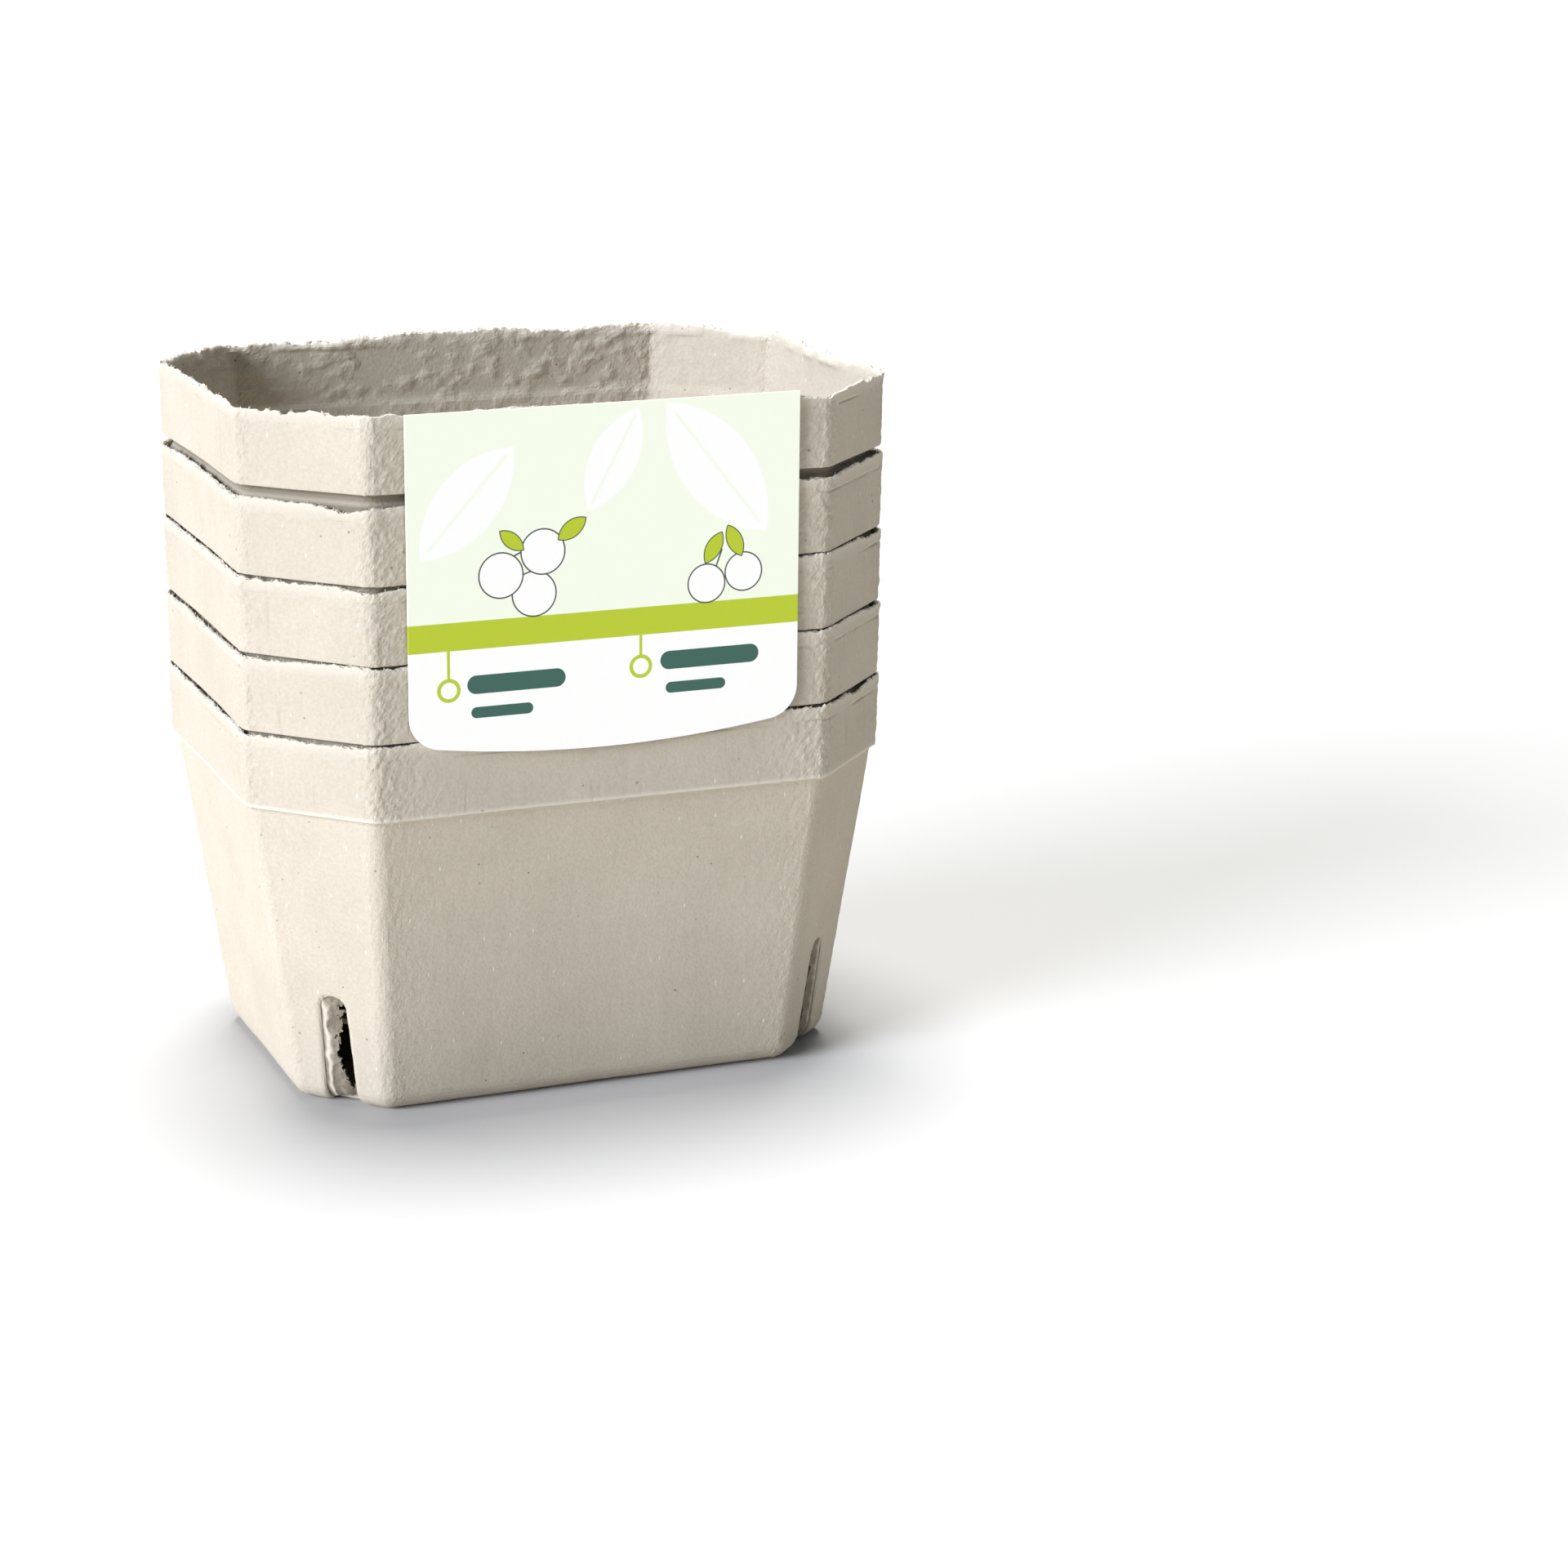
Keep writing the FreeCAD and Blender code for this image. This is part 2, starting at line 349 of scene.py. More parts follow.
def vent_cutters():
    """Four round-topped wedges that cut the vent slots out of the corners' feet."""
    arc_steps = 14
    below_floor = -3 * MM
    reaches = (4 * MM, -(FOOT_INSET + VENT_FLOOR_RUN))
    outline = [(-VENT_FOOT_HALF, below_floor), (VENT_FOOT_HALF, below_floor)]
    for i in range(arc_steps + 1):
        turn = math.pi * i / arc_steps
        outline.append((
            VENT_TOP_HALF * math.cos(turn),
            VENT_HEIGHT - VENT_TOP_HALF + VENT_TOP_HALF * math.sin(turn),
        ))
    outward = Vector((1, 1, 0)).normalized()
    along = Vector((1, -1, 0)).normalized()
    points, faces = [], []
    for side_x, side_y in ((1, 1), (-1, 1), (-1, -1), (1, -1)):
        first = len(points)
        for reach in reaches:
            for across, level in outline:
                p = CORNER_MIDDLE + outward * reach + along * across
                points.append((p.x * side_x, p.y * side_y, level))
        count = len(outline)
        rings = [[first + i for i in range(count)], [first + count + i for i in reversed(range(count))]]
        for i in range(count):
            j = (i + 1) % count
            rings.append([first + i, first + count + i, first + count + j, first + j])
        if side_x * side_y > 0:
            rings = [ring[::-1] for ring in rings]
        faces += rings
    mesh = bpy.data.meshes.new("vent_cutters")
    mesh.from_pydata(points, [], faces)
    return placed("vent_cutters", mesh)


# ---------------------------------------------------------------- the moulding tree

def moulding_tree():
    """Sweeps a wall section round the plan, tears the rim, and roughens the pulp."""
    tree, given = geometry_tree("moulded punnet", "Punnet", [
        ("Section", "Object", None),
        ("Plan", "Object", None),
        ("Vent Cutters", "Object", None),
        ("Pulp", "Material", None),
        ("Seed", "Float", 1.0),
        ("Bow Depth", "Float", 0.5 * MM),
        ("Crease Depth", "Float", 0.34 * MM),
        ("Tear Depth", "Float", 1.9 * MM),
        ("Tooth Depth", "Float", 2.4 * MM),
        ("Fray Depth", "Float", 0.7 * MM),
        ("Lump Height", "Float", 1.15 * MM),
        ("Felt Height", "Float", 0.05 * MM),
        ("Drag Height", "Float", 0.08 * MM),
        ("Crinkle Height", "Float", 1.3 * MM),
        ("Sway Height", "Float", 0.5 * MM),
        ("Fibres Per Square Metre", "Float", 600000.0),
        ("Fibre Length", "Float", 0.75 * MM),
    ])
    seed = given["Seed"]
    section, plan, cutters = (
        add(tree, "GeometryNodeObjectInfo", {"Object": given[label]}, out="Geometry")
        for label in ("Section", "Plan", "Vent Cutters")
    )
    rows, columns = (
        add(tree, "GeometryNodeAttributeDomainSize", {"Geometry": points}, out="Point Count")
        for points in (section, plan)
    )
    bands = add(tree, MATH, {0: rows, 1: 1.0}, operation="SUBTRACT")
    sleeve = add(tree, "GeometryNodeMeshCylinder", {
        "Vertices": columns, "Side Segments": bands,
    }, fill_type="NONE", out="Mesh")
    sleeve = add(tree, "GeometryNodeFlipFaces", {"Mesh": sleeve})

    # Every point of the sleeve reads its row from the section and its column from the plan.
    index = add(tree, "GeometryNodeInputIndex")
    row, column = (
        add(tree, "FunctionNodeIntegerMath", {0: index, 1: columns}, operation=operation)
        for operation in ("DIVIDE_FLOOR", "MODULO")
    )
    position = add(tree, "GeometryNodeInputPosition")
    wanted = [("section", section, row, "FLOAT_VECTOR")]
    wanted += [(label, section, row, "FLOAT") for label in ("spread", "inside", "torn", "crease", "tone")]
    wanted += [(label, plan, column, "FLOAT_VECTOR") for label in ("corner", "way", "outward")]
    wanted += [(label, plan, column, "FLOAT") for label in ("bow", "upright")]
    read = {}
    for label, source, place, kind in wanted:
        value = position
        if label not in ("section", "corner"):
            value = add(tree, "GeometryNodeInputNamedAttribute", {
                "Name": label,
            }, data_type=kind, out="Attribute")
        read[label] = add(tree, "GeometryNodeSampleIndex", {
            "Geometry": source, "Value": value, "Index": place,
        }, data_type=kind, domain="POINT")
    inset, radius, level = add(tree, "ShaderNodeSeparateXYZ", {0: read["section"]}, out=None)

    rim_plan = add(tree, VECTOR_MATH, {0: read["outward"], "Scale": COLLAR_RADIUS}, operation="SCALE")
    rim_plan = add(tree, VECTOR_MATH, {0: rim_plan, 1: read["corner"]}, operation="ADD")
    # The crease under the lip comes and goes along the rim.
    pressed = mottle(tree, rim_plan, 13 * MM, 2.0, 0.46, 0.66, seed=seed)
    pressed = add(tree, MATH, {0: pressed, 1: read["crease"]}, operation="MULTIPLY")
    inset = add(tree, MATH, {0: pressed, 1: given["Crease Depth"], 2: inset}, operation="MULTIPLY_ADD")

    # The wall steps in along the corner's own way, then comes back out round the corner radius.
    lift = add(tree, MATH, {0: level, 1: 1 / HEIGHT}, operation="MULTIPLY")
    bow = add(tree, MATH, {0: read["bow"], 1: lift}, operation="MULTIPLY")
    stepped = add(tree, MATH, {0: bow, 1: given["Bow Depth"], 2: inset}, operation="MULTIPLY_ADD")
    stepped = add(tree, MATH, {0: stepped, 1: radius}, operation="ADD")
    inward, round_out = (
        add(tree, VECTOR_MATH, {0: read[label], "Scale": amount}, operation="SCALE")
        for label, amount in (("way", stepped), ("outward", radius))
    )
    place = add(tree, VECTOR_MATH, {0: read["corner"], 1: inward}, operation="SUBTRACT")
    place = add(tree, VECTOR_MATH, {0: place, 1: round_out}, operation="ADD")
    place = add(tree, VECTOR_MATH, {0: place, "Scale": read["spread"]}, operation="SCALE")

    # The rim is torn down from its full height: long waves, then teeth a few millimetres apart.
    skin_shift = add(tree, "ShaderNodeCombineXYZ", {2: read["inside"]})
    skin_shift = add(tree, VECTOR_MATH, {0: skin_shift, "Scale": 2.0 * MM}, operation="SCALE")
    tooth_plan = add(tree, VECTOR_MATH, {0: rim_plan, 1: skin_shift}, operation="ADD")
    wave = mottle(tree, rim_plan, 26 * MM, 1.0, 0.42, 0.78, seed=seed, interpolation_type="SMOOTHSTEP")
    tooth = mottle(tree, tooth_plan, 4.4 * MM, 5.0, 0.42, 0.8, seed=seed, roughness=0.8)
    patches = mottle(tree, rim_plan, 19 * MM, 1.0, 0.38, 0.6, to=(0.4, 1.0), seed=seed)
    tooth = add(tree, MATH, {0: tooth, 1: patches}, operation="MULTIPLY")
    # Single fibres pull out between the teeth, at the very top only.
    fray = mottle(tree, rim_plan, 1.7 * MM, 2.0, 0.38, 0.62, seed=seed)
    frayed = add(tree, MATH, {0: read["torn"], 1: 6.0}, operation="POWER")
    for mask in (frayed, patches):
        fray = add(tree, MATH, {0: fray, 1: mask}, operation="MULTIPLY")
    drop = add(tree, MATH, {0: wave, 1: given["Tear Depth"]}, operation="MULTIPLY")
    for share, depth in ((tooth, given["Tooth Depth"]), (fray, given["Fray Depth"])):
        drop = add(tree, MATH, {0: share, 1: depth, 2: drop}, operation="MULTIPLY_ADD")
    drop = add(tree, MATH, {0: drop, 1: read["torn"]}, operation="MULTIPLY")
    height = add(tree, MATH, {0: level, 1: drop}, operation="SUBTRACT")
    height = add(tree, "ShaderNodeCombineXYZ", {2: height})
    place = add(tree, VECTOR_MATH, {0: place, 1: height}, operation="ADD")

    shell = add(tree, "GeometryNodeSetPosition", {"Geometry": sleeve, "Position": place})
    for label in ("inside", "torn", "upright", "spread", "tone"):
        shell = add(tree, "GeometryNodeStoreNamedAttribute", {
            "Geometry": shell, "Name": label, "Value": read[label],
        }, data_type="FLOAT", domain="POINT")
    shell = add(tree, "GeometryNodeMergeByDistance", {"Geometry": shell, "Distance": WELD})

    # Which part of the wall is rough: the inside is lumpy, most so high up and away from the ends.
    inside, torn, upright, spread = (
        add(tree, "GeometryNodeInputNamedAttribute", {"Name": label}, data_type="FLOAT", out="Attribute")
        for label in ("inside", "torn", "upright", "spread")
    )
    outside = add(tree, MATH, {0: 1.0, 1: inside}, operation="SUBTRACT")
    folded = add(tree, VECTOR_MATH, {0: position}, operation="ABSOLUTE")
    lengthways, sideways, height = add(tree, "ShaderNodeSeparateXYZ", {0: folded}, out=None)
    high_up, at_long_sides, away_from_ends, on_collar = (
        add(tree, MAP_RANGE, {
            "Value": value, "From Min": start, "From Max": end, "To Min": low, "To Max": high,
        })
        for value, start, end, low, high in (
            (height, 30 * MM, 88 * MM, 0.35, 1.0),
            (sideways, 50 * MM, 60 * MM, 0.3, 1.0),
            (lengthways, 57 * MM, 65 * MM, 1.0, 0.4),
            (height, SEAT_LEVEL - 2 * MM, SEAT_LEVEL + 2 * MM, 0.35, 1.0),
        )
    )
    lumpy = inside
    for mask in (high_up, spread, at_long_sides, away_from_ends):
        lumpy = add(tree, MATH, {0: lumpy, 1: mask}, operation="MULTIPLY")
    crinkled = add(tree, MATH, {0: on_collar, 1: upright}, operation="MULTIPLY")
    streaked, flattened = (
        add(tree, VECTOR_MATH, {0: position, 1: squash}, operation="MULTIPLY")
        for squash in ((1.0, 1.0, 0.14), (0.8, 1.0, 1.35))
    )

    # The pulp's own roughness, pushed along the wall's normal: where each layer is read, the size
    # of its features, detail, height, and which part of the wall has it.
    layers = [
        (flattened, 3.3 * MM, 2.0, given["Lump Height"], lumpy),
        (position, 1.6 * MM, 2.0, given["Felt Height"], spread),
        (streaked, 4.0 * MM, 2.0, given["Drag Height"], outside),
        (position, 1.7 * MM, 3.0, given["Crinkle Height"], crinkled),
        (position, 34 * MM, 1.0, given["Sway Height"], spread),
    ]
    push = 0.0
    for source, size, detail, amount, mask in layers:
        noise = add(tree, NOISE, {
            "Vector": source, "W": seed, "Scale": 1 / size, "Detail": detail, "Roughness": 0.55,
        }, noise_dimensions="4D")
        centred = add(tree, MATH, {0: noise, 1: 0.5}, operation="SUBTRACT")
        masked = add(tree, MATH, {0: centred, 1: mask}, operation="MULTIPLY")
        push = add(tree, MATH, {0: masked, 1: amount, 2: push}, operation="MULTIPLY_ADD")

    # Inside, clots of pulp dry as rounded lumps of mixed sizes.
    stir = 3.2 * MM
    stirred = add(tree, NOISE, {"Vector": position, "Scale": 1 / (5 * MM), "Detail": 1.0}, out="Color")
    stirred = add(tree, VECTOR_MATH, {
        0: stirred, 1: (stir, stir, stir), 2: flattened,
    }, operation="MULTIPLY_ADD")
    clot = add(tree, "ShaderNodeTexVoronoi", {
        "Vector": stirred, "W": seed, "Scale": 1 / (5.2 * MM), "Smoothness": 0.35,
    }, voronoi_dimensions="4D", feature="SMOOTH_F1", out="Distance")
    clot = add(tree, MATH, {0: 0.55, 1: clot}, operation="SUBTRACT")
    clot = add(tree, MATH, {0: clot, 1: lumpy}, operation="MULTIPLY")
    push = add(tree, MATH, {0: clot, 1: given["Lump Height"], 2: push}, operation="MULTIPLY_ADD")
    # No hollow is deep enough to meet the other face of the wall.
    push = add(tree, MATH, {0: push, 1: -DEEPEST_HOLLOW}, operation="MAXIMUM")

    # Round the vent slots the outer skin rolls in to the slot's edge.
    arc_level = VENT_HEIGHT - VENT_TOP_HALF
    across = add(tree, MATH, {0: lengthways, 1: sideways}, operation="SUBTRACT")
    across = add(tree, MATH, {0: across, 1: HALF_LENGTH - HALF_WIDTH}, operation="SUBTRACT")
    across = add(tree, MATH, {0: across, 1: math.sqrt(0.5)}, operation="MULTIPLY")
    above = add(tree, MATH, {0: height, 1: arc_level}, operation="SUBTRACT")
    above = add(tree, MATH, {0: above, 1: 0.0}, operation="MAXIMUM")
    reach = add(tree, "ShaderNodeCombineXYZ", {0: across, 1: above})
    reach = add(tree, VECTOR_MATH, {0: reach}, operation="LENGTH", out="Value")
    half = add(tree, MAP_RANGE, {
        "Value": height, "From Min": 0.0, "From Max": arc_level,
        "To Min": VENT_FOOT_HALF, "To Max": VENT_TOP_HALF,
    })
    reach = add(tree, MATH, {0: reach, 1: half}, operation="SUBTRACT")
    short = add(tree, MAP_RANGE, {
        "Value": reach, "From Min": 0.0, "From Max": VENT_EDGE, "To Min": 1.0, "To Max": 0.0,
    })
    dip = rolled_over(tree, short)
    dip = add(tree, MATH, {0: dip, 1: outside}, operation="MULTIPLY")
    push = add(tree, MATH, {0: dip, 1: -VENT_ROLL, 2: push}, operation="MULTIPLY_ADD")

    normal = add(tree, "GeometryNodeInputNormal")
    offset = add(tree, VECTOR_MATH, {0: normal, "Scale": push}, operation="SCALE")
    shell = add(tree, "GeometryNodeSetPosition", {"Geometry": shell, "Offset": offset})
    # The foot stays flat on the floor, and nothing stands above the punnet's own height.
    shell = held_within(tree, shell, (-1.0, -1.0, 0.0), (1.0, 1.0, HEIGHT - 0.03 * MM))
    cut = add(tree, "GeometryNodeMeshBoolean", {
        "Mesh 1": shell, "Mesh 2": cutters,
    }, operation="DIFFERENCE", solver="MANIFOLD")

    # Loose fibres stand up out of the torn edge, and none reaches past the punnet's own size.
    edge = add(tree, "FunctionNodeCompare", {0: torn, 1: 0.94}, data_type="FLOAT", operation="GREATER_THAN")
    roots = add(tree, "GeometryNodeDistributePointsOnFaces", {
        "Mesh": cut, "Selection": edge, "Density": given["Fibres Per Square Metre"],
    }, out=None)
    fibre = add(tree, "GeometryNodeMeshCone", {
        "Vertices": 4, "Radius Top": 0.03 * MM, "Radius Bottom": 0.11 * MM, "Depth": given["Fibre Length"],
    }, out="Mesh")
    strayed = add(tree, "FunctionNodeRandomValue", {
        "Min": (-0.8, -0.8, -0.1), "Max": (0.8, 0.8, 0.9),
    }, data_type="FLOAT_VECTOR")
    strayed = add(tree, VECTOR_MATH, {0: strayed, 1: roots["Normal"]}, operation="ADD")
    turned = add(tree, "FunctionNodeAlignRotationToVector", {"Vector": strayed}, axis="Z")
    length = add(tree, "FunctionNodeRandomValue", {2: 0.45, 3: 1.3, "Seed": 5}, data_type="FLOAT", out=1)
    fibres = add(tree, "GeometryNodeInstanceOnPoints", {
        "Points": roots["Points"], "Instance": fibre, "Rotation": turned, "Scale": length,
    })
    fibres = add(tree, "GeometryNodeRealizeInstances", {0: fibres})
    far_x, far_y = HALF_LENGTH - 0.1 * MM, HALF_WIDTH - 0.1 * MM
    fibres = held_within(tree, fibres, (-far_x, -far_y, 0.0), (far_x, far_y, HEIGHT - 0.05 * MM))
    whole = add(tree, "GeometryNodeJoinGeometry", {0: [cut, fibres]})
    hand_out(tree, "Punnet", whole, given["Pulp"])
    return tree


def made_by(tree, name, **given):
    """Runs a tree with its named inputs and returns the result as a plain mesh."""
    carrier = placed(name, bpy.data.meshes.new(name))
    modifier = carrier.modifiers.new("shape", "NODES")
    modifier.node_group = tree
    keys = {item.name: item.identifier for item in tree.interface.items_tree if item.in_out == "INPUT"}
    for label, value in given.items():
        modifier[keys[label.replace("_", " ")]] = value
    depsgraph = bpy.context.evaluated_depsgraph_get()
    mesh = bpy.data.meshes.new_from_object(carrier.evaluated_get(depsgraph), depsgraph=depsgraph)
    bpy.data.objects.remove(carrier)
    return mesh


def as_piece(name, mesh, node=None):
    """Puts a finished mesh in the scene as one piece of the stack."""
    mesh.name = name
    piece = placed(name, mesh)
    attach(piece, "root")
    if node:
        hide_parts(node)


# ---------------------------------------------------------------- finishes

def moulded_pulp():
    """Moulded paper pulp, pressed against a screen and dried: a dead-matt warm grey felt with soft
    blotches, short pale fibres, the odd dark speck of ink, and paler, fluffier torn edges."""
    material = bpy.data.materials.new("moulded_pulp")
    tree = bare_tree(material)
    at = add(tree, "ShaderNodeTexCoord", out="Object")
    torn, inside, upright, tone = (
        add(tree, "ShaderNodeAttribute", attribute_name=label, out="Fac")
        for label in ("torn", "inside", "upright", "tone")
    )
    outside = add(tree, MATH, {0: 1.0, 1: inside}, operation="SUBTRACT")
    drag_at, wrinkle_at, dash_at = (
        add(tree, VECTOR_MATH, {0: at, 1: (1.0, 1.0, squash)}, operation="MULTIPLY")
        for squash in (0.12, 0.05, 0.4)
    )

    # Soft blotches 20 mm across, where the pulp lay thicker or dried slower, under fibres that are
    # 0.05 mm thick but drawn 0.5 mm across, so that they show.
    blotch = mottle(tree, at, 20 * MM, 3.0, 0.3, 0.7)
    fibre = mottle(tree, at, 0.9 * MM, 3.0, 0.35, 0.65, roughness=0.65)
    base, fibre_shade = (
        add(tree, MIX, {0: share, 6: paint(low), 7: paint(high)}, data_type="RGBA", out=2)
        for share, low, high in ((blotch, "#bcb4a5", "#c2baab"), (fibre, "#f5f3ef", "#ffffff"))
    )
    colour = add(tree, MIX, {
        0: 1.0, 6: base, 7: fibre_shade,
    }, data_type="RGBA", blend_type="MULTIPLY", out=2)

    # Faint upright drag marks from the mould.
    drag_shade = mottle(tree, drag_at, 2.2 * MM, 2.0, 0.35, 0.65, to=(0.985, 1.0))
    # Thin upright wrinkles, a few millimetres to a few centimetres apart, where the wet sheet dragged.
    wrinkle = add(tree, NOISE, {"Vector": wrinkle_at, "Scale": 1 / (16 * MM), "Detail": 1.0})
    wrinkle = add(tree, MATH, {0: wrinkle, 1: 0.5}, operation="SUBTRACT")
    wrinkle = add(tree, MATH, {0: wrinkle}, operation="ABSOLUTE")
    wrinkle = add(tree, MAP_RANGE, {
        "Value": wrinkle, "From Min": 0.0, "From Max": 0.012, "To Min": 1.0, "To Max": 0.0,
    })
    patchy = mottle(tree, at, 11 * MM, 1.0, 0.5, 0.68)
    height = add(tree, "ShaderNodeSeparateXYZ", {0: at}, out=2)
    on_collar = add(tree, MAP_RANGE, {
        "Value": height, "From Min": SEAT_LEVEL - 4 * MM, "From Max": SEAT_LEVEL + 4 * MM,
    })
    for mask in (patchy, on_collar, outside):
        wrinkle = add(tree, MATH, {0: wrinkle, 1: mask}, operation="MULTIPLY")
    wrinkle_shade = add(tree, MAP_RANGE, {"Value": wrinkle, "To Min": 1.0, "To Max": 0.91})
    # The collars outside are painted a touch darker than the body, as painted shade, and the inside
    # is painted a little darker too, as painted shade.
    collar = add(tree, MATH, {0: on_collar, 1: outside}, operation="MULTIPLY")
    collar_shade, inner_shade = (
        add(tree, MATH, {0: mask, 1: -darker, 2: 1.0}, operation="MULTIPLY_ADD")
        for mask, darker in ((collar, 0.035), (inside, 0.08))
    )
    for shade in (drag_shade, wrinkle_shade, collar_shade, inner_shade):
        colour = add(tree, VECTOR_MATH, {0: colour, "Scale": shade}, operation="SCALE")

    # Specks of old ink up to 0.9 mm across, 15 mm or so apart.
    speck = add(tree, "ShaderNodeTexVoronoi", {"Vector": at, "Scale": 1 / (4.8 * MM)}, feature="F1", out=None)
    rarity = add(tree, "ShaderNodeSeparateColor", {0: speck["Color"]})
    speck_size = add(tree, MAP_RANGE, {"Value": rarity, "To Min": 0.015, "To Max": 0.095})
    speck_mask = add(tree, MATH, {0: speck_size, 1: speck["Distance"]}, operation="SUBTRACT")
    speck_mask = add(tree, MAP_RANGE, {"Value": speck_mask, "From Max": 0.025})
    # Short pale dashes, 0.4 mm by 1 mm with soft edges, where the screen pressed a fibre flat.
    dash = add(tree, "ShaderNodeTexVoronoi", {
        "Vector": dash_at, "Scale": 1 / (3.6 * MM),
    }, feature="F1", out="Distance")
    dash = add(tree, MAP_RANGE, {
        "Value": dash, "From Min": 0.05, "From Max": 0.1, "To Min": 1.0, "To Max": 0.0,
    })
    speck_mask, dash_mask, painted_shade = (
        add(tree, MATH, {0: mask, 1: strength}, operation="MULTIPLY")
        for mask, strength in ((speck_mask, 0.62), (dash, 0.6), (tone, -1.0))
    )
    # Torn edges show the clean inside of the sheet. The ledge's edge and the films' loose ridges get a
    # painted highlight, and the hollow under the ledge and the vent films get painted shade. The specks and
    # the dashes lie over all of that.
    for mask, code in [
        (torn, "#c5bfb2"), (tone, "#cfc9bd"), (painted_shade, "#7b7364"),
        (speck_mask, "#5f574b"), (dash_mask, "#dad5c9"),
    ]:
        colour = add(tree, MIX, {0: mask, 6: colour, 7: paint(code)}, data_type="RGBA", out=2)

    # The felt's nap is 0.9 mm grain a few hundredths of a millimetre high; the upright edges are
    # crinkled about as finely where the wet sheet was gathered, and the inside is left rough.
    gathered = add(tree, NOISE, {"Vector": at, "Scale": 1 / (1.1 * MM), "Detail": 2.0, "Distortion": 0.6})
    rough_share = add(tree, MATH, {0: upright, 1: 4.0}, operation="MULTIPLY")
    rough_share = add(tree, MATH, {0: inside, 1: 2.4, 2: rough_share}, operation="MULTIPLY_ADD")
    nap = add(tree, MATH, {0: fibre, 1: 0.6}, operation="MULTIPLY")
    for source, share in ((gathered, rough_share), (wrinkle, -1.2), (dash, -0.8)):
        nap = add(tree, MATH, {0: source, 1: share, 2: nap}, operation="MULTIPLY_ADD")
    bump = add(tree, "ShaderNodeBump", {"Height": nap, "Distance": 0.05 * MM, "Strength": 1.0})
    shader = add(tree, "ShaderNodeBsdfPrincipled", {
        "Base Color": colour, "Normal": bump, "Roughness": 0.95, "IOR": 1.47, "Specular IOR Level": 0.25,
    })
    add(tree, "ShaderNodeOutputMaterial", {"Surface": shader}, out=None)
    return material


